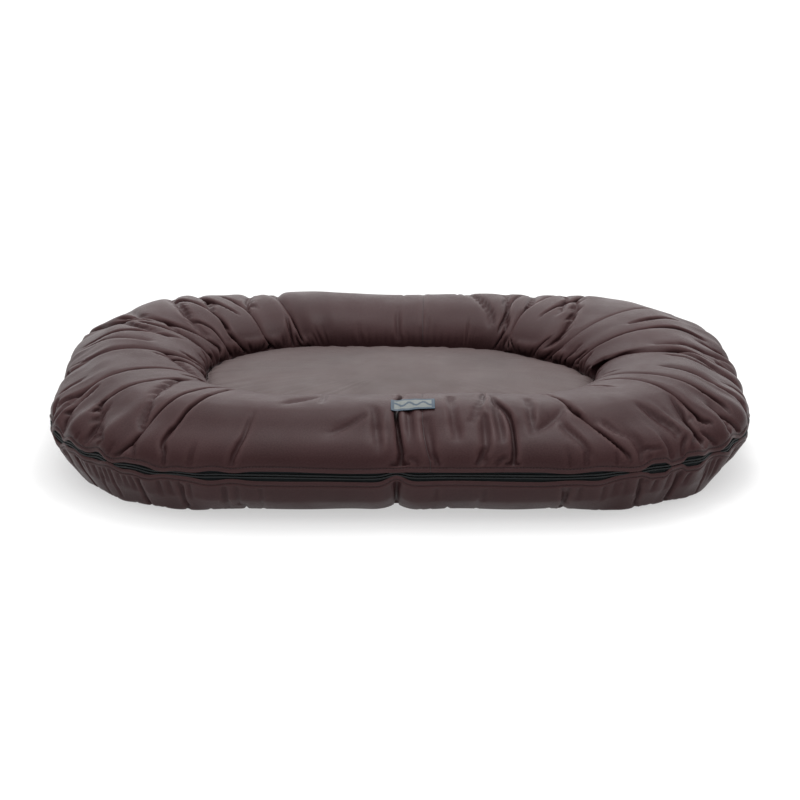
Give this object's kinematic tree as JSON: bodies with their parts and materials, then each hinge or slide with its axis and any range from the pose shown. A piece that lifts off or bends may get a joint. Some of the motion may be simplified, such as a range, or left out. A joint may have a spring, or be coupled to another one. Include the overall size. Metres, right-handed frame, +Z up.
{
  "type": "pet cushion bed",
  "caption": "Rounded rectangular pet bed: a stuffed bolster ring round a flat sleeping mat, in a zipped fabric cover with a free-swinging zip pull.",
  "frame": {"origin": "on the floor under the middle of the bed", "axes": "+X along the bed's length, +Z up, and -Y towards its front, which carries the label; the zip's slider is at the rear"},
  "size_m": [1.0018, 0.7563, 0.1461],
  "materials": {
    "cover_cloth": "brown polyester with a soft satin sheen",
    "mat_cloth": "smooth matte grey-brown polyester",
    "cover_thread": "dark brown sewing thread",
    "zip_tape": "black woven zip tape",
    "zip_coil": "black nylon coil",
    "zip_metal": "dark nickel",
    "label_cloth": "woven label with a blue border",
    "liner_cloth": "white non-woven liner",
    "fibre_fill": "white hollow polyester fibre"
  },
  "bodies": {
    "bed": {"base_cover": "cover_cloth", "bolster_cover_left": "cover_cloth", "bolster_cover_right": "cover_cloth", "front_panel_seam": "cover_thread", "rear_panel_seam": "cover_thread", "mat_panel": "mat_cloth", "upper_hem_thread": "cover_thread", "lower_hem_thread": "cover_thread", "mat_seam_thread": "cover_thread", "label": "label_cloth", "bolster_liner": "liner_cloth", "bolster_fill": "fibre_fill", "mat_liner": "liner_cloth", "mat_fill": "fibre_fill", "upper_zip_tape": "zip_tape", "lower_zip_tape": "zip_tape", "upper_zip_coil": "zip_coil", "lower_zip_coil": "zip_coil", "zip_top_stop_upper": "zip_metal", "zip_top_stop_lower": "zip_metal", "zip_bottom_stop": "zip_metal", "zip_end_tab": "cover_cloth"},
    "slider": {"zip_slider": "zip_metal"},
    "pull": {"zip_pull": "zip_metal"}
  },
  "joints": [
    {"name": "zip_slide", "type": "slide", "parent": "bed", "child": "slider", "axis": [1, 0, 0], "range_m": [0, 0.42]},
    {"name": "pull_swing", "type": "hinge", "parent": "slider", "child": "pull", "pos_m": [-0.18493, 0.3784, 0.063], "axis": [0, 0, 1], "range_deg": [0, 180]}
  ]
}
